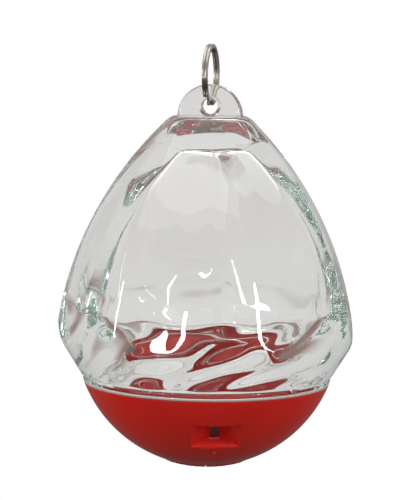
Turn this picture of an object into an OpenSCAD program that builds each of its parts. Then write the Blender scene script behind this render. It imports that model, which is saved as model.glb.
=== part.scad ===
// Hanging glass wasp trap: a fluted glass body on a split ring, closed below by a
// screw-on plastic bait bowl with three funnel ports. Origin at the hang point, the
// inside top of the ring, with +Z up, the lug across X and the ring standing along Y.

/* [Split ring] */
// Outside diameter of the split ring
ring_od = 30; // [28:0.5:32]
// Radial thickness of the ring wire
ring_wire = 2.2; // [1.8:0.1:2.4]
// Width of one coil of the ring along its axis
coil_w = 1.45; // [1.2:0.05:1.6]

/* [Glass] */
// Number of flutes round the glass
flutes = 7; // [6:1:8]
// Angle of a flute ridge from the front, about Z
flute_phase = 19.3; // [0:0.1:60]
// Height of the glass from rim to flat shoulder
glass_h = 130.4; // [120:0.2:140]
// Largest distance from the axis to a flute's face
flute_a = 72.9; // [71:0.1:74]
// Radius of the flutes' curve seen from the side
flank_r = 178; // [172:1:184]
// Greatest radius of the belt
belt_r = 73.6; // [72:0.1:75]
// Radius of the round ridge bands, as a share of the distance to a flute's face
band_share = 1.04; // [1.02:0.01:1.06]
// Radius of the glass rim
rim_r = 61; // [58:0.5:63]
// Height of the plain band above the rim
rim_band = 3.5; // [2:0.5:5]
// Radius of the rounding round the belt
belt_round = 25; // [15:1:30]
// Radius of the flat shoulder, inside its trimmed corners
shoulder_r = 17.4; // [17:0.1:18]
// Thickness of the solid glass cap over the cavity
cap_t = 19.5; // [16:0.5:24]
// Largest distance from the axis to a cavity face
cavity_a = 57; // [54:0.2:58]
// Radius of the cavity faces' curve seen from the side
cavity_r = 98; // [96:1:110]

/* [Lug] */
// Radius of the disc that the lug is the upper half of
lug_r = 16; // [15.5:0.1:16.5]
// Thickness of the lug
lug_t = 9; // [8:0.5:9]
// Radius of the hole for the ring
eye_r = 4; // [4:0.1:4.4]

/* [Neck and thread] */
// Outside radius of the neck below the rim
neck_r = 52.2; // [50:0.1:53]
// Inside radius of the mouth
mouth_r = 45.5; // [42:0.5:47]
// Depth of the neck below the rim
neck_h = 10.2; // [9:0.2:10.6]
// Height of the thread ridges
thread_w = 2; // [1.6:0.1:2.2]
// How far the thread ridges stand out of the neck
thread_d = 1.7; // [1.2:0.1:2]
// Rise of the three-start thread in one turn
thread_lead = 14; // [12:0.5:16]

/* [Bait bowl] */
// Radius of the bowl's sphere
bowl_r = 65.1; // [64:0.1:66]
// Depth of the bowl below its rim
bowl_h = 41.2; // [40:0.2:42]
// Thickness of the bowl wall
bowl_t = 2.2; // [1.8:0.1:2.6]
// Thickness of the soft seal between glass and bowl
seal_t = 1; // [0.8:0.1:1.4]

/* [Entry ports] */
// Number of ports round the bowl
ports = 3; // [2:1:3]
// Width of a port's mouth
port_w = 23.4; // [20:0.2:24]
// Upright height of a port's mouth
port_h = 12.8; // [12:0.2:13]
// Depth of the funnel, square to its mouth
port_d = 6.6; // [6:0.1:7]
// Width of the slot at the funnel's end
slot_w = 5; // [4.4:0.1:6]
// Height of the slot
slot_h = 7.1; // [6:0.1:7.4]
// Angle of the first port from the front, with the bowl screwed home
port_phase = 18; // [0:1:119]
// Number of raised ribs round the bowl's foot
foot_ribs = 28; // [16:2:36]

/* [Hidden] */

gap = 0.3;                                  // clearance between pieces that move
ring_r = ring_od / 2;
ring_z = -(ring_r - ring_wire);             // centre of the ring
shoulder_z = -32.7;                         // plane of the flat shoulder
rim_z = shoulder_z - glass_h;               // plane of the glass rim
eye_z = -28;                                // centre of the eye
lug_sink = 0.6;                             // how far the lug's disc is centred below the shoulder
ring_sides = 96;
side_steps = 180;
belt_steps = 5;
flank_steps = 8;

flank_z = 2;                                // height of a flute's widest point
cavity_z = 30.4;                            // height of the cavity's widest point
belt_slope = 0.62;                          // outward run per unit of rise under the belt
shoulder_drop = 2.6;                        // height of the cone at the shoulder's corners
roof_z = glass_h - cap_t;                   // cavity roof above the rim

bowl_top = rim_z - seal_t;                  // rim of the bowl
bowl_cz = bowl_top - bowl_h + bowl_r;       // centre of the bowl's sphere
socket_r = neck_r + thread_d + gap;         // bore that takes the neck and its thread
catch_z = rim_z - 6.4;                      // middle of the ridges on the neck
port_z = rim_z - 19.3;                      // height of the mouth's centre
port_high_r = port_edge_r(port_z + port_h / 2);
port_low_r = port_edge_r(port_z - port_h / 2);
port_r = (port_high_r + port_low_r) / 2;
port_tilt = atan((port_high_r - port_low_r) / port_h);      // lean of the mouth from upright
mouth_h = port_h / cos(port_tilt);
throat_h = 6;                               // length of the funnel's end, along its lean
throat_rise = -mouth_h / 2 + 2.6 + throat_h / 2;
slot_z = rim_z - 18.45;                     // height of the slot's centre
slot_r = 38;                                // middle of the slot's reach from the axis
pip_z = port_z - port_h / 2 - 3.4;          // raised dot under each port
rib_h = 0.5;                                // how far the foot ribs stand out

// Distance from the axis to a mouth's corner, on the bowl's sphere, at height z.
function port_edge_r(z) = sqrt(bowl_r * bowl_r - pow(port_w / 2, 2) - pow(bowl_cz - z, 2));

// Distance from the axis to a flute's face at height h above the rim.
function flank(h) = flute_a - flank_r + sqrt(flank_r * flank_r - pow(h - flank_z, 2));

// The coil's rounded wire section, centred on the origin.
module wire_section() {
    r = 0.45;
    intersection() {
        square([ring_wire, coil_w], center = true);
        union() {
            square([ring_wire - 2 * r, coil_w], center = true);
            square([ring_wire, coil_w - 2 * r], center = true);
            for (x = [-1, 1], y = [-1, 1])
                translate([x * (ring_wire / 2 - r), y * (coil_w / 2 - r)])
                    circle(r, $fn = 32);
        }
    }
}

// Two coils side by side, joined where they touch, with a notch at each wire end.
module split_ring() {
    color("silver")
    translate([0, 0, ring_z])
    rotate([0, 90, 0])
    difference() {
        rotate_extrude($fn = ring_sides)
            for (s = [-1, 1])
                translate([ring_r - ring_wire / 2, s * (coil_w / 2 - 0.01)])
                    wire_section();
        for (s = [-1, 1])
            rotate([0, 0, s * 24 - 60])
                translate([ring_r - ring_wire / 2, 0, s * (coil_w + 0.5) / 2])
                    cube([ring_wire + 1, 0.5, coil_w + 0.4], center = true);
    }
}

// One flute's face, towards +X: an arc of radius r, farthest out (a) at height z0.
module flute_side(a, r, z0, low, high) {
    rotate([90, 0, 0])
        linear_extrude(height = 200, center = true)
            intersection() {
                translate([a - r, z0]) circle(r, $fn = side_steps);
                translate([-200, low]) square([400, high - low]);
            }
}

// The faces of all flutes, at equal angles, leave a fluted solid with curved ridges.
module fluted(a, r, z0, low, high) {
    intersection_for (i = [0 : flutes - 1])
        rotate([0, 0, flute_phase - 90 + (i + 0.5) * 360 / flutes])
            flute_side(a, r, z0, low, high);
}

// Turned outline that trims the flutes: rim band, cone under the belt, round belt, ridge
// bands up the flank, and a cone that takes off the shoulder's corners.
module belt_turning() {
    tilt = atan(belt_slope);
    corner = rim_band + (belt_r - rim_r - 1) / belt_slope;
    top = corner + belt_round * tan(tilt / 2);
    step = (glass_h - shoulder_drop - top) / flank_steps;
    rotate_extrude($fn = side_steps)
        polygon([
            [0, 0], [rim_r, 0], [rim_r, rim_band], [rim_r + 1, rim_band],
            for (i = [0 : belt_steps])
                let (t = tilt * (1 - i / belt_steps))
                [belt_r - belt_round * (1 - cos(t)), top - belt_round * sin(t)],
            for (i = [1 : flank_steps])
                [band_share * flank(top + i * step), top + i * step],
            [shoulder_r, glass_h], [0, glass_h]
        ]);
}

// Cavity: fluted inside the belt, coned in to the roof above and to the mouth below.
module cavity() {
    intersection() {
        fluted(cavity_a, cavity_r, cavity_z, -3, roof_z + 3);
        rotate_extrude($fn = side_steps)
            polygon([
                [0, 2], [mouth_r, 2], [mouth_r, 4], [62, 35], [62, 92],
                [40, roof_z - 14], [14, roof_z], [0, roof_z]
            ]);
    }
    translate([0, 0, -neck_h - 1])
        cylinder(h = neck_h + 4, r = mouth_r, $fn = side_steps);
}

// One short ridge of the thread, tipped to the thread's slope. s is 1 outward, -1 inward.
module thread_ridge(r, depth, arc, s) {
    slope = atan(thread_lead / (2 * PI * neck_r));
    rotate([slope, 0, 0])
        rotate([0, 0, -arc / 2])
            rotate_extrude(angle = arc, $fn = side_steps)
                polygon([
                    [r - s * 0.6, -thread_w / 2], [r + s * depth, -thread_w / 2 + 0.4],
                    [r + s * depth, thread_w / 2 - 0.4], [r - s * 0.6, thread_w / 2]
                ]);
}

module glass_body() {
    color([0.85, 0.92, 0.89, 0.45])
    difference() {
        union() {
            translate([0, 0, rim_z])
                intersection() {
                    fluted(flute_a, flank_r, flank_z, -5, glass_h + 5);
                    belt_turning();
                }
            translate([0, 0, shoulder_z - lug_sink])
                intersection() {
                    rotate([90, 0, 0])
                        cylinder(h = lug_t, r = lug_r, center = true, $fn = side_steps);
                    translate([-lug_r, -lug_t, -2])
                        cube([2 * lug_r, 2 * lug_t, lug_r + 3]);
                }
            translate([0, 0, rim_z - neck_h])
                cylinder(h = neck_h + 1, r = neck_r, $fn = side_steps);
            for (i = [0 : ports - 1])
                rotate([0, 0, i * 360 / ports])
                    translate([0, 0, catch_z])
                        thread_ridge(neck_r, thread_d, 60, 1);
        }
        translate([0, 0, rim_z]) cavity();
        translate([0, 0, eye_z])
            rotate([90, 0, 0])
                cylinder(h = 4 * lug_t, r = eye_r, center = true, $fn = 96);
    }
}

// Flat soft washer between the glass ledge and the bowl's rim.
module rim_seal() {
    color([0.9, 0.9, 0.86])
    translate([0, 0, bowl_top + 0.1])
        difference() {
            cylinder(h = seal_t - 0.2, r = rim_r - 0.4, $fn = side_steps);
            translate([0, 0, -1])
                cylinder(h = seal_t + 2, r = socket_r + 0.6, $fn = side_steps);
        }
}

// Square-ended funnel through sections given as [width, height, y, rise of its centre].
module funnel(sections) {
    ends = len(sections) - 1;
    polyhedron(
        points = [
            for (s = sections, c = [[-1, -1], [1, -1], [1, 1], [-1, 1]])
                [c[0] * s[0] / 2, s[2], s[3] + c[1] * s[1] / 2]
        ],
        faces = [
            [3, 2, 1, 0],
            for (j = [0 : ends - 1], i = [0 : 3])
                let (a = 4 * j + i, b = 4 * j + (i + 1) % 4) [b, b + 4, a + 4, a],
            [4 * ends, 4 * ends + 1, 4 * ends + 2, 4 * ends + 3]
        ]
    );
}

// Places a shape drawn about a mouth's centre, with the mouth in the XZ plane facing -Y.
module at_mouth() {
    translate([0, -port_r, port_z])
        rotate([port_tilt, 0, 0])
            children();
}

// What a port adds inside the bowl: the funnel's own wall.
module port_wall() {
    k = bowl_t * 0.6;
    intersection() {
        at_mouth() funnel([
            [port_w + 3 * k, mouth_h + 2 * k, -2, 0],
            [port_w + 3 * k, mouth_h + 2 * k, 0, 0],
            [slot_w + 2 * k + 1.5, throat_h + 2 * k, port_d + k, throat_rise]
        ]);
        translate([0, 0, bowl_cz]) sphere(bowl_r - 0.5, $fn = side_steps);
    }
}

// What a port removes: a square recess, the funnel and the slot through its end.
module port_hollow() {
    step = 0.5;
    at_mouth() funnel([
        [port_w, mouth_h, -6, 0],
        [port_w, mouth_h, 0, 0],
        [slot_w + step, throat_h, port_d, throat_rise]
    ]);
    translate([-slot_w / 2, -slot_r - 5, slot_z - slot_h / 2])
        cube([slot_w, 10, slot_h]);
}

module bait_bowl() {
    color([0.78, 0.12, 0.1])
    difference() {
        union() {
            difference() {
                intersection() {
                    translate([0, 0, bowl_cz]) sphere(bowl_r, $fn = side_steps);
                    translate([0, 0, bowl_top - bowl_r])
                        cylinder(h = bowl_r, r = bowl_r, $fn = side_steps);
                }
                translate([0, 0, bowl_cz])
                    intersection() {
                        sphere(bowl_r - bowl_t, $fn = side_steps);
                        cylinder(h = 200, r = socket_r, center = true, $fn = side_steps);
                    }
                translate([0, 0, bowl_top - 8])
                    cylinder(h = 20, r = socket_r, $fn = side_steps);
            }
            for (i = [0 : ports - 1])
                rotate([0, 0, port_phase + i * 360 / ports]) {
                    port_wall();
                    translate([0, -sqrt(bowl_r * bowl_r - pow(bowl_cz - pip_z, 2)), pip_z])
                        sphere(0.8, $fn = 32);
                }
            for (i = [0 : ports - 1])
                rotate([0, 0, i * 360 / ports])
                    translate([0, 0, catch_z + thread_w + gap])
                        thread_ridge(socket_r, thread_d, 24, -1);
            intersection() {
                translate([0, 0, bowl_cz]) sphere(bowl_r + rib_h, $fn = side_steps);
                for (i = [0 : foot_ribs - 1])
                    rotate([0, 0, i * 360 / foot_ribs])
                        translate([9, -0.9, bowl_cz - bowl_r - 1])
                            cube([12, 1.8, 4.4]);
            }
        }
        for (i = [0 : ports - 1])
            rotate([0, 0, port_phase + i * 360 / ports]) port_hollow();
    }
}

split_ring();
glass_body();
rim_seal();
bait_bowl();
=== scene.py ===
"""Looks of the hanging glass wasp trap: thick fluted glass on a split ring, with a red
screw-on bait bowl. Pieces are built in millimetres in the CAD frame and scaled to metres."""
import math

import bmesh
import bpy
from mathutils import Matrix, Vector


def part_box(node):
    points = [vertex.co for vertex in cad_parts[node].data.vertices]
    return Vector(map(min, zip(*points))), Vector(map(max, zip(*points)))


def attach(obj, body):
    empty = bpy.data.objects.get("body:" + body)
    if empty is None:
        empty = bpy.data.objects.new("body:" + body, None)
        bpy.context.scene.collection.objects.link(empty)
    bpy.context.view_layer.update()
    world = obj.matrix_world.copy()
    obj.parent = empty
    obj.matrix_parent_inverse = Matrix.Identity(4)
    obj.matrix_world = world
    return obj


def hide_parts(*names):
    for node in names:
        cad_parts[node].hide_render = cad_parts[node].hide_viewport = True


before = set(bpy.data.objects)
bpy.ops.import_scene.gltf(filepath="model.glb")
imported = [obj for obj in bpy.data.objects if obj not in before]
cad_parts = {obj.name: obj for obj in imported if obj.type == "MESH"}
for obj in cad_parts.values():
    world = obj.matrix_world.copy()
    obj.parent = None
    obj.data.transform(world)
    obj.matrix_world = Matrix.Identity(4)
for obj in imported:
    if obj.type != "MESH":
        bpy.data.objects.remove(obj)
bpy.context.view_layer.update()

MM = 0.001
TAU = 2 * math.pi


def smooth(low, high, x):
    """0 below low, 1 above high, and an S curve between them."""
    t = min(1.0, max(0.0, (x - low) / (high - low)))
    return t * t * (3 - 2 * t)


def soft_min(a, b, sharpness):
    """The smaller of two lengths, rounded over where they meet."""
    return (a**-sharpness + b**-sharpness) ** (-1 / sharpness)


def spaced(start, end, step):
    """Values from start to end, both included, about step apart."""
    count = max(1, round(abs(end - start) / step))
    return [start + (end - start) * i / count for i in range(count + 1)]


# ---------------------------------------------------------------- sizes, in mm, from the CAD

glass_low, glass_high = (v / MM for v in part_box("glass_body"))
bowl_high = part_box("bait_bowl")[1] / MM
ring_low, ring_high = (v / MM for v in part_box("split_ring"))
seal_low, seal_high = (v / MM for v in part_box("rim_seal"))

LUG_R = 16.0
LUG_T = 9.0
LUG_SINK = 0.6                    # how far the lug's disc is centred below the shoulder
LUG_EDGE = 2.6                    # radius of the rounding on the lug's edge
NECK_H = 10.2
NECK_R = 52.2
MOUTH_R = 45.5
THREAD_D = 1.7
THREAD_W = 2.0
THREAD_LEAD = 14.0
THREAD_STARTS = 3
THREAD_GAP = 0.3                  # clearance between the neck's thread and the socket
CATCH_DROP = 6.4                  # middle of the neck's ridges, below the rim
SOCKET_R = NECK_R + THREAD_D + THREAD_GAP

lug_z = glass_high.z - LUG_R
shoulder_z = lug_z + LUG_SINK
rim_z = glass_low.z + NECK_H
glass_h = shoulder_z - rim_z
EYE_Z = -28.0
EYE_R = 4.0
EYE_FLARE = 0.9                   # how much wider the eye is at the lug's faces
EYE_FLARE_H = 2.2                 # depth of that flare

FLUTES = 7
FLUTE_TURN = math.radians(19.3) - math.pi / FLUTES
FLUTE_A = 72.9
FLANK_R = 178.0
FLANK_Z = 2.0
BELT_R = 73.6
BAND_SHARE = 1.04                 # ridge bands' radius, as a share of the distance to a face
RIM_R = 61.0
RIM_BAND = 3.5
BELT_SLOPE = 0.62
BELT_ROUND = 25.0
SHOULDER_DROP = 2.4               # height of the rounding at the shoulder's corners
SHOULDER_TRIM = 2.6               # width of the same rounding

CAVITY_A = 57.0
CAVITY_R = 98.0
CAVITY_Z = 30.4
CAVITY_WIDEST = 62.0              # greatest radius of the cavity's cone and dome
CAVITY_CONE = 0.532               # outward run per unit of rise above the mouth
CONE_START = 4.0                  # height where that cone starts
DOME_H = 30.0                     # height of the cavity's dome
CAP_T = 19.5
roof_h = glass_h - CAP_T
dome_h0 = roof_h - DOME_H

# How sharply two shapes meet. Higher is sharper.
RIDGE_SHARP = 90
BELT_SHARP = 130
CAVITY_SHARP = 30
CAVITY_LIMIT_SHARP = 18

TURNS = 360                       # facets round the glass and the bowl
SHARP_EDGE = math.radians(32)     # edges above this angle aren't smoothed


# ---------------------------------------------------------------- mesh tools


def new_piece(name, bm, body, slot, *nodes):
    """Turns a bmesh in mm into a piece that rides on a body and replaces CAD nodes."""
    bmesh.ops.scale(bm, vec=(MM, MM, MM), verts=bm.verts)
    bmesh.ops.recalc_face_normals(bm, faces=bm.faces)
    mesh = bpy.data.meshes.new(name)
    bm.to_mesh(mesh)
    bm.free()
    return place_piece(name, mesh, body, slot, *nodes)


def place_piece(name, mesh, body, slot, *nodes):
    """Links a mesh as a smooth piece that rides on a body and replaces CAD nodes."""
    piece = bpy.data.objects.new(name, mesh)
    bpy.context.scene.collection.objects.link(piece)
    mesh.polygons.foreach_set("use_smooth", [True] * len(mesh.polygons))
    mesh.set_sharp_from_angle(angle=SHARP_EDGE)
    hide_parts(*nodes)
    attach(piece, body)
    return piece


def stack(rings, loop=False):
    """A bmesh of quads between rings of points. A ring of one point is a pole."""
    bm = bmesh.new()
    rows = [[bm.verts.new(p) for p in ring] for ring in rings]
    pairs = list(zip(rows, rows[1:])) + ([(rows[-1], rows[0])] if loop else [])
    for a, b in pairs:
        count = max(len(a), len(b))
        for i in range(count):
            j = (i + 1) % count
            corners = [a[i % len(a)], a[j % len(a)], b[j % len(b)], b[i % len(b)]]
            unique = list(dict.fromkeys(corners))
            if len(unique) > 2:
                bm.faces.new(unique)
    return bm


def turned(outline):
    """Rings from (radius function or number, height function or number) pairs, about Z.
    Angle 0 is the front, -Y, and angles grow towards +X. A radius of 0 is a pole."""
    rings = []
    for radius, height in outline:
        if radius == 0:
            rings.append([(0, 0, height)])
            continue
        ring = []
        for i in range(TURNS):
            turn = TAU * i / TURNS
            r = radius(turn) if callable(radius) else radius
            z = height(turn) if callable(height) else height
            ring.append((r * math.sin(turn), -r * math.cos(turn), z))
        rings.append(ring)
    return rings


def fillet(r0, z0, r1, z1, cr, cz, steps=6):
    """Points of a rounded corner from (r0, z0) to (r1, z1) that bulges towards (cr, cz)."""
    points = []
    for i in range(steps + 1):
        t = i / steps
        points.append((
            (1 - t) ** 2 * r0 + 2 * t * (1 - t) * cr + t * t * r1,
            (1 - t) ** 2 * z0 + 2 * t * (1 - t) * cz + t * t * z1,
        ))
    return points


def cut_or_join(mesh_bm, tool_bm, operation):
    """Exact boolean of two closed bmeshes. Returns the result as a bmesh."""
    objects = []
    for name, bm in (("base", mesh_bm), ("tool", tool_bm)):
        bmesh.ops.recalc_face_normals(bm, faces=bm.faces)
        mesh = bpy.data.meshes.new(name)
        bm.to_mesh(mesh)
        bm.free()
        ob = bpy.data.objects.new(name, mesh)
        bpy.context.scene.collection.objects.link(ob)
        objects.append(ob)
    base, tool = objects
    modifier = base.modifiers.new("boolean", "BOOLEAN")
    modifier.operation = operation
    modifier.solver = "EXACT"
    modifier.object = tool
    graph = bpy.context.evaluated_depsgraph_get()
    result = bmesh.new()
    result.from_object(base, graph)
    for ob in objects:
        bpy.data.objects.remove(ob)
    return result


# ---------------------------------------------------------------- glass


def flute_factor(turn, sharpness):
    """How far a softened polygon reaches at this angle, for a face distance of 1."""
    total = 0.0
    for i in range(FLUTES):
        c = math.cos(turn - FLUTE_TURN - TAU * i / FLUTES)
        if c > 0:
            total += c**sharpness
    return total ** (-1 / sharpness)


def arc_half(a, r, z0, h):
    """Half-width at height h of a shape whose side is an arc of radius r."""
    return a - r + math.sqrt(r * r - (h - z0) ** 2)


def belt_limit(h):
    """Greatest outside radius at height h above the rim: band, cone, rounding, belt."""
    tilt = math.atan(BELT_SLOPE)
    corner = RIM_BAND + (BELT_R - RIM_R - 1) / BELT_SLOPE
    top = corner + BELT_ROUND * math.tan(tilt / 2)
    bottom = top - BELT_ROUND * math.sin(tilt)
    if h < RIM_BAND:
        return RIM_R
    if h < bottom:
        return RIM_R + 1 + (h - RIM_BAND) * BELT_SLOPE
    if h < top:
        return BELT_R - BELT_ROUND + math.sqrt(BELT_ROUND**2 - (top - h) ** 2)
    return BELT_R


def glass_outside(h):
    """Radius round the glass at height h above the rim."""
    a = arc_half(FLUTE_A, FLANK_R, FLANK_Z, h)
    limit = min(belt_limit(h), BAND_SHARE * a)

    def radius(turn):
        return soft_min(a * flute_factor(turn, RIDGE_SHARP), limit, BELT_SHARP)

    return radius


def cavity_limit(h):
    """Greatest cavity radius at height h: cone above the mouth, dome under the cap."""
    cone = min(CAVITY_WIDEST - MOUTH_R, CAVITY_CONE * max(0.0, h - CONE_START))
    if h > dome_h0:
        t = min(1.0, (h - dome_h0) / DOME_H)
        return min(MOUTH_R + cone, CAVITY_WIDEST * math.sqrt(max(0.0, 1 - t * t)) + 0.01)
    return MOUTH_R + cone


def ripple(turn, h):
    """Flowing unevenness of the pressed inside face, in mm: slow waves over the whole
    face, and stronger ones under the belt. All waves bend with height and angle."""
    whole = smooth(2, 14, h) * (1 - smooth(45, 90, h))
    low = smooth(0, 7, h) * (1 - smooth(24, 46, h))
    bend = turn + 0.22 * math.sin(0.12 * h + 1.1) + 0.10 * math.sin(3 * turn + 0.05 * h)
    rise = h + 4.0 * math.sin(3 * turn + 0.4) + 1.8 * math.sin(5 * turn + 1.9)
    return whole * (
        0.18 * math.sin(2 * bend + 0.05 * rise + 0.6)
        + 0.07 * math.sin(5 * bend - 0.07 * rise + 2.1)
    ) + low * (
        0.45 * math.sin(6 * bend + 0.24 * rise)
        + 0.30 * math.sin(11 * bend - 0.30 * rise + 1.3)
    )


def cavity_inside(h):
    """Radius of the cavity at height h above the rim."""
    a = arc_half(CAVITY_A, CAVITY_R, CAVITY_Z, h)
    limit = cavity_limit(h)

    def radius(turn):
        r = soft_min(a * flute_factor(turn, CAVITY_SHARP), limit, CAVITY_LIMIT_SHARP)
        return r + ripple(turn, h)

    return radius


def thread(turn, z, arc, middle, way):
    """How far a thread ridge stands out at this angle and height, towards way."""
    lift = 0.0
    for i in range(THREAD_STARTS):
        off = (turn - TAU / 4 - TAU * i / THREAD_STARTS + math.pi) % TAU - math.pi
        centre = middle + off * THREAD_LEAD / TAU
        along = 1 - smooth(arc / 2 - 0.06, arc / 2, abs(off))
        across = 1 - smooth(THREAD_W / 2 - 0.55, THREAD_W / 2 + 0.05, abs(z - centre))
        lift = max(lift, along * across)
    return way * (THREAD_D - 0.05) * lift


def glass_outline():
    """Every ring of the glass from the middle of the shoulder round to the cavity's roof."""
    catch = rim_z - CATCH_DROP
    outline = [(0, shoulder_z)]
    shoulder = glass_outside(glass_h)
    for share in (0.3, 0.6, 0.8):
        outline.append((lambda t, s=share: shoulder(t) * s, shoulder_z))
    flank = glass_outside(glass_h - SHOULDER_DROP)
    for i in range(9):
        s = i / 8
        outline.append((
            lambda t, s=s: (1 - s) ** 2 * (shoulder(t) - SHOULDER_TRIM)
            + 2 * s * (1 - s) * shoulder(t)
            + s * s * flank(t),
            shoulder_z - s * s * SHOULDER_DROP,
        ))
    for h in spaced(glass_h - SHOULDER_DROP - 0.6, RIM_BAND, 1.0):
        outline.append((glass_outside(h), rim_z + h))
    outline += [(RIM_R, rim_z + RIM_BAND - 0.5), (RIM_R, rim_z + 0.8)]
    outline += [(r, rim_z + z) for r, z in fillet(RIM_R, 0.8, RIM_R - 0.8, 0, RIM_R, 0)]
    outline += [(RIM_R - 4, rim_z), (NECK_R + 0.9, rim_z)]
    outline += [
        (r, rim_z + z) for r, z in fillet(NECK_R + 0.9, 0, NECK_R, -0.9, NECK_R, 0, 4)
    ]
    lip_h = 1.5
    for z in spaced(-1.2, -NECK_H + lip_h, 0.3):
        z += rim_z
        outline.append((lambda t, z=z: NECK_R + thread(t, z, TAU / 6, catch, 1), z))
    lip = (NECK_R + MOUTH_R) / 2
    half = (NECK_R - MOUTH_R) / 2
    for i in range(1, 12):
        angle = math.pi * i / 12
        rise = lip_h * (1 - math.sin(angle))
        outline.append((lip + half * math.cos(angle), rim_z - NECK_H + rise))
    for z in spaced(-NECK_H + lip_h, 1, 1.0):
        outline.append((MOUTH_R, rim_z + z))
    for h in spaced(1.5, dome_h0, 1.0):
        outline.append((cavity_inside(h), rim_z + h))
    for i in range(1, 40):
        h = dome_h0 + DOME_H * math.sin(math.pi / 2 * i / 40)
        outline.append((cavity_inside(h), rim_z + h))
    outline.append((0, rim_z + roof_h))
    return outline


def disc_about_y(profile, centre_z, steps):
    """Closed solid turned about the Y line at height centre_z, from (y, radius) pairs."""
    rings = []
    for y, r in profile:
        if r == 0:
            rings.append([(0, y, centre_z)])
            continue
        rings.append([
            (r * math.cos(TAU * i / steps), y, centre_z + r * math.sin(TAU * i / steps))
            for i in range(steps)
        ])
    return stack(rings)


def lug_solid():
    """Disc whose upper half is the lug, with a well rounded edge."""
    half = LUG_T / 2
    profile = [(-half, 0), (-half, 6), (-half, 10)]
    for i in range(13):
        angle = math.pi * i / 12
        y = -math.cos(angle)
        flat = (half - LUG_EDGE) * (-1 if y < 0 else 1) if abs(y) > 1e-6 else 0
        profile.append((flat + LUG_EDGE * y, LUG_R - LUG_EDGE + LUG_EDGE * math.sin(angle)))
    profile += [(half, 10), (half, 6), (half, 0)]
    return disc_about_y(profile, lug_z, 160)


def eye_solid():
    """The eye's cutter: a bore that flares where it meets the lug's faces."""
    half = LUG_T / 2
    profile = [(-half - 3, 0), (-half - 3, EYE_R + 1.6), (-half, EYE_R + EYE_FLARE)]
    for y in (0.35, 0.8, 1.4, EYE_FLARE_H):
        profile.append((-half + y, EYE_R + EYE_FLARE * (1 - y / EYE_FLARE_H) ** 2))
    profile += [(-y, r) for y, r in reversed(profile)]
    return disc_about_y(profile, EYE_Z, 72)


def make_glass():
    """The turned and fluted body with the lug joined on and the eye cut through it."""
    body = stack(turned(glass_outline()))
    body = cut_or_join(body, lug_solid(), "UNION")
    body = cut_or_join(body, eye_solid(), "DIFFERENCE")
    return new_piece("fluted_glass", body, "glass", "clear_glass", "glass_body")


# ---------------------------------------------------------------- bait bowl

BOWL_R = 65.1
BOWL_T = 2.2
BOWL_H = 41.2
bowl_top = bowl_high.z
bowl_cz = bowl_top - BOWL_H + BOWL_R
PORTS = 3
PORT_TURN = math.radians(18)
PORT_W, PORT_H, PORT_D = 23.4, 12.8, 6.6
SLOT_W, SLOT_H, SLOT_R = 5.0, 7.1, 38.0
THROAT_H = 6.0
THROAT_RISE = 2.6                 # height of the funnel's end above the mouth's bottom
FUNNEL_STEP = 0.5                 # how much wider the funnel's end is than the slot
PIP_R = 0.85
PIP_DROP = 3.4                    # the dot's distance below the mouth
FOOT_RIBS = 28
RIB_H = 0.5
port_z = rim_z - 19.3
slot_z = rim_z - 18.45


def corner_r(z):
    """Distance from the axis to a mouth's corner, on the bowl's sphere."""
    return math.sqrt(BOWL_R**2 - (PORT_W / 2) ** 2 - (bowl_cz - z) ** 2)


port_high_r = corner_r(port_z + PORT_H / 2)
port_low_r = corner_r(port_z - PORT_H / 2)
port_r = (port_high_r + port_low_r) / 2
port_tilt = math.atan((port_high_r - port_low_r) / PORT_H)
mouth_h = PORT_H / math.cos(port_tilt)
throat_rise = -mouth_h / 2 + THROAT_RISE + THROAT_H / 2


def sphere_r(r, z):
    """Radius at height z of a sphere of radius r about the bowl's centre."""
    return math.sqrt(max(0.0, r * r - (bowl_cz - z) ** 2))


def foot_rib(turn, r):
    """Height of the ring of short ribs moulded round the bowl's foot."""
    along = smooth(8.6, 9.6, r) * (1 - smooth(20.2, 21.2, r))
    width = 0.9 * FOOT_RIBS / (math.pi * max(r, 5))
    phase = abs((turn * FOOT_RIBS / TAU) % 1 - 0.5) * 2
    return RIB_H * along * (1 - smooth(width - 0.1, width + 0.1, phase))


def bowl_outline():
    """Every ring of the bowl from its foot up the outside and down the inside."""
    outline = [(0, bowl_cz - BOWL_R)]
    rim_angle = math.acos((bowl_cz - bowl_top) / BOWL_R)
    for angle in spaced(0.02, rim_angle - 0.012, 0.0125):
        r = BOWL_R * math.sin(angle)

        def grow(turn, r=r):
            return (BOWL_R + foot_rib(turn, r)) / BOWL_R

        outline.append((
            lambda t, r=r, g=grow: r * g(t),
            lambda t, a=angle, g=grow: bowl_cz - BOWL_R * math.cos(a) * g(t),
        ))
    edge = sphere_r(BOWL_R, bowl_top)
    outline += fillet(edge - 0.2, bowl_top - 0.5, edge - 0.9, bowl_top, edge, bowl_top, 4)
    outline.append(((edge + SOCKET_R) / 2, bowl_top))
    outline += fillet(
        SOCKET_R + 0.6, bowl_top, SOCKET_R, bowl_top - 0.6, SOCKET_R, bowl_top, 4
    )
    catch = rim_z - CATCH_DROP + THREAD_W + THREAD_GAP
    for z in spaced(bowl_top - 1, bowl_top - 8, 0.3):
        outline.append((lambda t, z=z: SOCKET_R + thread(t, z, TAU / 15, catch, -1), z))
    inner = BOWL_R - BOWL_T
    start = math.asin(min(1, SOCKET_R / inner)) - 0.03
    for angle in spaced(start, 0.03, 0.03):
        outline.append((inner * math.sin(angle), bowl_cz - inner * math.cos(angle)))
    outline.append((0, bowl_cz - inner))
    return outline


def port_frame(turn):
    """Places a shape drawn about a mouth's centre, with the mouth in the XZ plane facing -Y."""
    return (
        Matrix.Rotation(turn, 4, "Z")
        @ Matrix.Translation((0, -port_r, port_z))
        @ Matrix.Rotation(port_tilt, 4, "X")
    )


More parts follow.
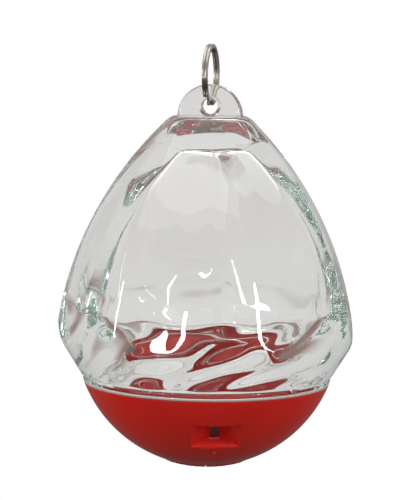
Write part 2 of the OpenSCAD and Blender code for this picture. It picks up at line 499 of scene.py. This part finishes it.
def funnel_solid(sections, place):
    """Closed square-ended funnel through (width, height, y, rise) sections."""
    rings = []
    for w, h, y, rise in sections:
        corners = [(-w, -h), (w, -h), (w, h), (-w, h)]
        rings.append([place @ Vector((cx / 2, y, rise + cz / 2)) for cx, cz in corners])
    bm = stack(rings)
    bm.verts.ensure_lookup_table()
    bm.faces.new(bm.verts[:4])
    bm.faces.new(reversed(bm.verts[-4:]))
    bmesh.ops.recalc_face_normals(bm, faces=bm.faces)
    return bm


def together(parts):
    """One bmesh that holds several."""
    whole = bmesh.new()
    for bm in parts:
        mesh = bpy.data.meshes.new("part")
        bm.to_mesh(mesh)
        bm.free()
        whole.from_mesh(mesh)
        bpy.data.meshes.remove(mesh)
    return whole


def port_solids(kind):
    """The walls, the funnels or the slots of all ports, as one bmesh."""
    parts = []
    wall = BOWL_T * 0.6
    for i in range(PORTS):
        turn = PORT_TURN + TAU * i / PORTS
        place = port_frame(turn)
        if kind == "wall":
            wide, tall = PORT_W + 3 * wall, mouth_h + 2 * wall
            sections = [
                (wide, tall, -2, 0),
                (wide, tall, 0, 0),
                (SLOT_W + 2 * wall + 1.5, THROAT_H + 2 * wall, PORT_D + wall, throat_rise),
            ]
        elif kind == "funnel":
            sections = [
                (PORT_W, mouth_h, -6, 0),
                (PORT_W, mouth_h, 0, 0),
                (SLOT_W + FUNNEL_STEP, THROAT_H, PORT_D, throat_rise),
            ]
        else:
            sections = [(SLOT_W, SLOT_H, -5, 0), (SLOT_W, SLOT_H, 5, 0)]
            place = Matrix.Rotation(turn, 4, "Z") @ Matrix.Translation((0, -SLOT_R, slot_z))
        parts.append(funnel_solid(sections, place))
    return together(parts)


def ball(radius):
    """Closed sphere about the bowl's centre."""
    steps = 90
    outline = [(0, bowl_cz - radius)]
    for i in range(1, steps):
        angle = math.pi * i / steps
        outline.append((radius * math.sin(angle), bowl_cz - radius * math.cos(angle)))
    outline.append((0, bowl_cz + radius))
    return stack(turned(outline))


def pip_solids():
    """The moulded dot under each port."""
    z = port_z - PORT_H / 2 - PIP_DROP
    parts = []
    for i in range(PORTS):
        turn = PORT_TURN + TAU * i / PORTS
        r = sphere_r(BOWL_R - 0.1, z)
        bm = bmesh.new()
        spot = Matrix.Translation((r * math.sin(turn), -r * math.cos(turn), z))
        bmesh.ops.create_icosphere(bm, subdivisions=3, radius=PIP_R, matrix=spot)
        parts.append(bm)
    return together(parts)


def make_bowl():
    """The turned shell, with the ports' walls and dots joined on before they are cut."""
    bowl = stack(turned(bowl_outline()))
    walls = cut_or_join(port_solids("wall"), ball(BOWL_R - 0.5), "INTERSECT")
    bowl = cut_or_join(bowl, walls, "UNION")
    bowl = cut_or_join(bowl, pip_solids(), "UNION")
    bowl = cut_or_join(bowl, port_solids("funnel"), "DIFFERENCE")
    bowl = cut_or_join(bowl, port_solids("slot"), "DIFFERENCE")
    return new_piece("bowl_shell", bowl, "bowl", "red_plastic", "bait_bowl")


# ---------------------------------------------------------------- split ring and seal


def make_ring():
    """Spring wire wound two turns, with one step across between the turns."""
    out_r = (ring_high.z - ring_low.z) / 2
    width = (ring_high.x - ring_low.x) / 2 - 0.02
    wire = 2.2
    centre = (ring_high.z + ring_low.z) / 2
    mid_r = out_r - wire / 2
    step_at, half_step, shy = math.radians(200), math.radians(22), math.radians(24)
    corner = 0.45
    section = []
    for sx, sy, a0 in ((1, 1, 0), (-1, 1, 90), (-1, -1, 180), (1, -1, 270)):
        for k in range(4):
            a = math.radians(a0 + 30 * k)
            section.append((
                sx * (wire / 2 - corner) + corner * math.cos(a),
                sy * (width / 2 - corner) + corner * math.sin(a),
            ))
    steps = 420
    rings = []
    for i in range(steps + 1):
        angle = shy + (2 * TAU - 2 * shy) * i / steps
        across = smooth(TAU - half_step, TAU + half_step, angle) * 2 - 1
        shift = across * (width + 0.03) / 2
        a = angle + step_at
        ring = []
        for dr, dx in section:
            r = mid_r + dr
            ring.append((shift + dx, r * math.sin(a), centre + r * math.cos(a)))
        rings.append(ring)
    bm = stack(rings)
    bm.verts.ensure_lookup_table()
    n = len(section)
    bm.faces.new(bm.verts[:n])
    bm.faces.new(reversed(bm.verts[-n:]))
    return new_piece("split_ring_wire", bm, "hanger", "ring_steel", "split_ring")


def make_seal():
    """Soft washer with rounded, slightly bulging edges."""
    low, high = seal_low.z, seal_high.z
    out_r = (seal_high.x - seal_low.x) / 2
    in_r = SOCKET_R + 0.6
    half = (high - low) / 2
    mid = (high + low) / 2
    outline = []
    for i in range(9):
        a = -math.pi / 2 + math.pi * i / 8
        outline.append((out_r - half + half * math.cos(a), mid + half * math.sin(a)))
    outline.append(((out_r + in_r) / 2, high))
    for i in range(9):
        a = math.pi / 2 + math.pi * i / 8
        outline.append((in_r + half + half * math.cos(a), mid + half * math.sin(a)))
    outline.append(((out_r + in_r) / 2, low))
    washer = stack(turned(outline), loop=True)
    return new_piece("rim_washer", washer, "seal", "seal_rubber", "rim_seal")


# ---------------------------------------------------------------- materials


def material(name):
    """A new material with its node tree and its shader."""
    mat = bpy.data.materials.new(name)
    mat.use_nodes = True
    tree = mat.node_tree
    return mat, tree, tree.nodes["Principled BSDF"]


def add_bump(tree, shader, heights, strength, distance):
    """Joins a bump from a height output to the shader's normal."""
    bump = tree.nodes.new("ShaderNodeBump")
    bump.inputs["Strength"].default_value = strength
    bump.inputs["Distance"].default_value = distance
    tree.links.new(heights, bump.inputs["Height"])
    tree.links.new(bump.outputs["Normal"], shader.inputs["Normal"])


def object_noise(tree, scale, detail):
    """Noise that stays on the piece as it moves."""
    coords = tree.nodes.new("ShaderNodeTexCoord")
    noise = tree.nodes.new("ShaderNodeTexNoise")
    noise.inputs["Scale"].default_value = scale
    noise.inputs["Detail"].default_value = detail
    tree.links.new(coords.outputs["Object"], noise.inputs["Vector"])
    return noise.outputs["Fac"]


def ranged(tree, value, low, high, start=0.0, end=1.0):
    """Maps a value between start and end to low to high."""
    m = tree.nodes.new("ShaderNodeMapRange")
    m.inputs["From Min"].default_value = start
    m.inputs["From Max"].default_value = end
    m.inputs["To Min"].default_value = low
    m.inputs["To Max"].default_value = high
    tree.links.new(value, m.inputs["Value"])
    return m.outputs["Result"]


def mixed(tree, factor, first, second):
    """Colour mixed by a factor. first and second are outputs or fixed colours."""
    mix = tree.nodes.new("ShaderNodeMix")
    mix.data_type = "RGBA"
    tree.links.new(factor, mix.inputs[0])
    for socket, colour in ((mix.inputs[6], first), (mix.inputs[7], second)):
        if isinstance(colour, tuple):
            socket.default_value = (*colour, 1)
        else:
            tree.links.new(colour, socket)
    return mix.outputs[2]


def glass_material():
    """Clear glass, faintly green where it is thick."""
    mat, tree, shader = material("pressed_glass")
    shader.inputs["Base Color"].default_value = (1, 1, 1, 1)
    shader.inputs["Transmission Weight"].default_value = 1
    shader.inputs["Roughness"].default_value = 0.0
    shader.inputs["IOR"].default_value = 1.5
    absorb = tree.nodes.new("ShaderNodeVolumeAbsorption")
    absorb.inputs["Color"].default_value = (0.83, 0.93, 0.89, 1)
    absorb.inputs["Density"].default_value = 5.0
    tree.links.new(absorb.outputs["Volume"], tree.nodes["Material Output"].inputs["Volume"])
    add_bump(tree, shader, object_noise(tree, 55, 1), 0.25, 0.0012)
    return mat


def painted_inner_shade(tree):
    """1 on the bottom of the bowl's inside, where painted shade darkens the plastic, and 0
    elsewhere.
    """
    coords = tree.nodes.new("ShaderNodeTexCoord")
    reach = tree.nodes.new("ShaderNodeVectorMath")
    reach.operation = "DISTANCE"
    reach.inputs[1].default_value = (0, 0, bowl_cz * MM)
    tree.links.new(coords.outputs["Object"], reach.inputs[0])
    split = tree.nodes.new("ShaderNodeSeparateXYZ")
    tree.links.new(coords.outputs["Object"], split.inputs[0])
    inside = ranged(
        tree, reach.outputs["Value"], 0, 1, (BOWL_R - 1.0) * MM, (BOWL_R - 1.6) * MM
    )
    low = ranged(tree, split.outputs["Z"], 0, 1, (port_z - 7.0) * MM, (port_z - 11.0) * MM)
    both = tree.nodes.new("ShaderNodeMath")
    both.operation = "MULTIPLY"
    tree.links.new(inside, both.inputs[0])
    tree.links.new(low, both.inputs[1])
    return both.outputs[0]


def plastic_material():
    """Glossy red plastic with a fine moulded texture, with painted shade darkening the bottom
    of the inside.
    """
    mat, tree, shader = material("red_moulded_plastic")
    red = mixed(tree, object_noise(tree, 60, 3), (0.68, 0.014, 0.009), (0.76, 0.020, 0.012))
    inner_shade = painted_inner_shade(tree)
    # painted shade: the bottom of the bowl's inside is painted near black-red, for the dim
    # inside seen through the ports
    colour = mixed(tree, inner_shade, red, (0.10, 0.008, 0.006))
    tree.links.new(colour, shader.inputs["Base Color"])
    roughness = ranged(tree, object_noise(tree, 900, 2), 0.16, 0.26)
    tree.links.new(roughness, shader.inputs["Roughness"])
    # the painted shade's area also reflects less
    tree.links.new(ranged(tree, inner_shade, 0.5, 0.05), shader.inputs["Specular IOR Level"])
    shader.inputs["IOR"].default_value = 1.5
    add_bump(tree, shader, object_noise(tree, 1600, 2), 0.12, 0.0003)
    return mat


def steel_material():
    """Nickel plate with uneven wear."""
    mat, tree, shader = material("nickel_plated_wire")
    colour = mixed(tree, object_noise(tree, 700, 4), (0.30, 0.28, 0.24), (0.52, 0.50, 0.46))
    tree.links.new(colour, shader.inputs["Base Color"])
    shader.inputs["Metallic"].default_value = 1
    roughness = ranged(tree, object_noise(tree, 2500, 3), 0.14, 0.32)
    tree.links.new(roughness, shader.inputs["Roughness"])
    add_bump(tree, shader, object_noise(tree, 3000, 2), 0.15, 0.0001)
    return mat


def rubber_material():
    """Soft, dull and pale."""
    mat, tree, shader = material("pale_seal")
    colour = mixed(tree, object_noise(tree, 500, 3), (0.46, 0.40, 0.37), (0.56, 0.50, 0.46))
    tree.links.new(colour, shader.inputs["Base Color"])
    shader.inputs["Roughness"].default_value = 0.45
    add_bump(tree, shader, object_noise(tree, 4000, 2), 0.2, 0.0002)
    return mat


# ---------------------------------------------------------------- studio


CAMERA_TURN = math.radians(12)
CAMERA_DISTANCE = 1.0
CAMERA_ROLL = math.radians(0.8)
LENS = 147.0                      # focal length in mm on a 36 mm sensor
AIM_Z = -0.0988                   # height of the point the camera looks at
AIM_SIDE = -0.0014                # that point's offset from the axis, to the camera's right


def around(turn, distance, height):
    """A place at an angle from the front, a distance from the axis and a height."""
    return Vector((distance * math.sin(turn), -distance * math.cos(turn), height))


def make_camera():
    """Level with the ring's eye, and looking down at the middle of the trap."""
    data = bpy.data.cameras.new("camera")
    data.sensor_width = 36
    data.lens = LENS
    data.clip_end = 50
    cam = bpy.data.objects.new("camera", data)
    bpy.context.scene.collection.objects.link(cam)
    cam.location = around(CAMERA_TURN, CAMERA_DISTANCE, 0.0)
    target = around(CAMERA_TURN + TAU / 4, AIM_SIDE, AIM_Z)
    look = (target - cam.location).to_track_quat("-Z", "Y").to_matrix()
    roll = Matrix.Rotation(CAMERA_ROLL, 3, "Z")
    cam.rotation_euler = (look @ roll).to_euler()
    bpy.context.scene.camera = cam


def area_light(name, turn, distance, height, width, tall, power):
    """A rectangular light that faces the middle of the trap, with turn in degrees."""
    data = bpy.data.lights.new(name, "AREA")
    data.shape = "RECTANGLE"
    data.size = width
    data.size_y = tall
    data.energy = power
    lamp = bpy.data.objects.new(name, data)
    bpy.context.scene.collection.objects.link(lamp)
    lamp.location = around(math.radians(turn), distance, height)
    middle = Vector((0, 0, -0.1))
    lamp.rotation_euler = (middle - lamp.location).to_track_quat("-Z", "Y").to_euler()


def sky(tree, height, stops):
    """Colour ramp over the sine of the elevation, from (sine, colour) stops."""
    ramp = tree.nodes.new("ShaderNodeValToRGB")
    points = ramp.color_ramp.elements
    while len(points) < len(stops):
        points.new(0.5)
    for point, (sine, colour) in zip(points, stops):
        point.position = (sine + 1) / 2
        point.color = (*colour, 1)
    tree.links.new(height, ramp.inputs[0])
    return ramp.outputs[0]


def make_world():
    """White to the eye, a grey studio through the glass, and a darker one in reflections."""
    world = bpy.data.worlds.new("studio")
    bpy.context.scene.world = world
    world.use_nodes = True
    tree = world.node_tree
    back = tree.nodes["Background"]
    coords = tree.nodes.new("ShaderNodeTexCoord")
    split = tree.nodes.new("ShaderNodeSeparateXYZ")
    tree.links.new(coords.outputs["Generated"], split.inputs[0])
    height = ranged(tree, split.outputs["Z"], 0, 1, -1, 1)
    seen_through = sky(tree, height, [
        (-1.0, (0.16, 0.08, 0.065)),
        (-0.60, (0.26, 0.16, 0.14)),
        (-0.34, (0.69, 0.68, 0.67)),
        (0.45, (0.70, 0.69, 0.68)),
        (1.0, (0.55, 0.53, 0.51)),
    ])
    reflected = sky(tree, height, [
        (-1.0, (0.05, 0.045, 0.04)),
        (-0.30, (0.14, 0.13, 0.125)),
        (0.05, (0.44, 0.43, 0.42)),
        (1.0, (0.75, 0.74, 0.73)),
    ])
    path = tree.nodes.new("ShaderNodeLightPath")
    rays = mixed(tree, path.outputs["Transmission Depth"], reflected, seen_through)
    colour = mixed(tree, path.outputs["Is Camera Ray"], rays, (1, 1, 1))
    tree.links.new(colour, back.inputs["Color"])


FLOOR_R = 0.8
FLOOR_Z = -1.0


def make_floor():
    """A plain floor well below the trap: white to the eye, and dim in reflections."""
    bm = bmesh.new()
    bmesh.ops.create_circle(bm, cap_ends=True, radius=FLOOR_R, segments=96)
    mesh = bpy.data.meshes.new("floor")
    bm.to_mesh(mesh)
    bm.free()
    floor = bpy.data.objects.new("floor", mesh)
    bpy.context.scene.collection.objects.link(floor)
    floor.location = (0, 0, FLOOR_Z)
    mat, tree, shader = material("pale_floor")
    shader.inputs["Base Color"].default_value = (0.14, 0.10, 0.09, 1)
    shader.inputs["Roughness"].default_value = 0.9
    shader.inputs["Specular IOR Level"].default_value = 0.0
    glow = tree.nodes.new("ShaderNodeEmission")
    path = tree.nodes.new("ShaderNodeLightPath")
    mix = tree.nodes.new("ShaderNodeMixShader")
    tree.links.new(path.outputs["Is Camera Ray"], mix.inputs[0])
    tree.links.new(shader.outputs[0], mix.inputs[1])
    tree.links.new(glow.outputs[0], mix.inputs[2])
    tree.links.new(mix.outputs[0], tree.nodes["Material Output"].inputs["Surface"])
    mesh.materials.append(mat)


def make_studio():
    """World, floor and lights: name, turn, distance, height, width, tall and power."""
    make_world()
    make_floor()
    area_light("strip_left", -52, 1.1, 0.05, 0.06, 0.55, 3.5)
    area_light("strip_right", 72, 1.1, 0.05, 0.07, 0.55, 4)
    area_light("strip_front", -24, 1.3, 0.05, 0.03, 0.45, 1.4)
    area_light("softbox_top", 12, 0.02, 1.1, 1.6, 1.6, 9)
    scene = bpy.context.scene
    scene.view_settings.view_transform = "Standard"
    scene.cycles.max_bounces = 32
    scene.cycles.transmission_bounces = 24
    scene.cycles.glossy_bounces = 24


glass = make_glass()
bowl = make_bowl()
ring = make_ring()
seal = make_seal()
glass.data.materials.append(glass_material())
bowl.data.materials.append(plastic_material())
ring.data.materials.append(steel_material())
seal.data.materials.append(rubber_material())
make_camera()
make_studio()
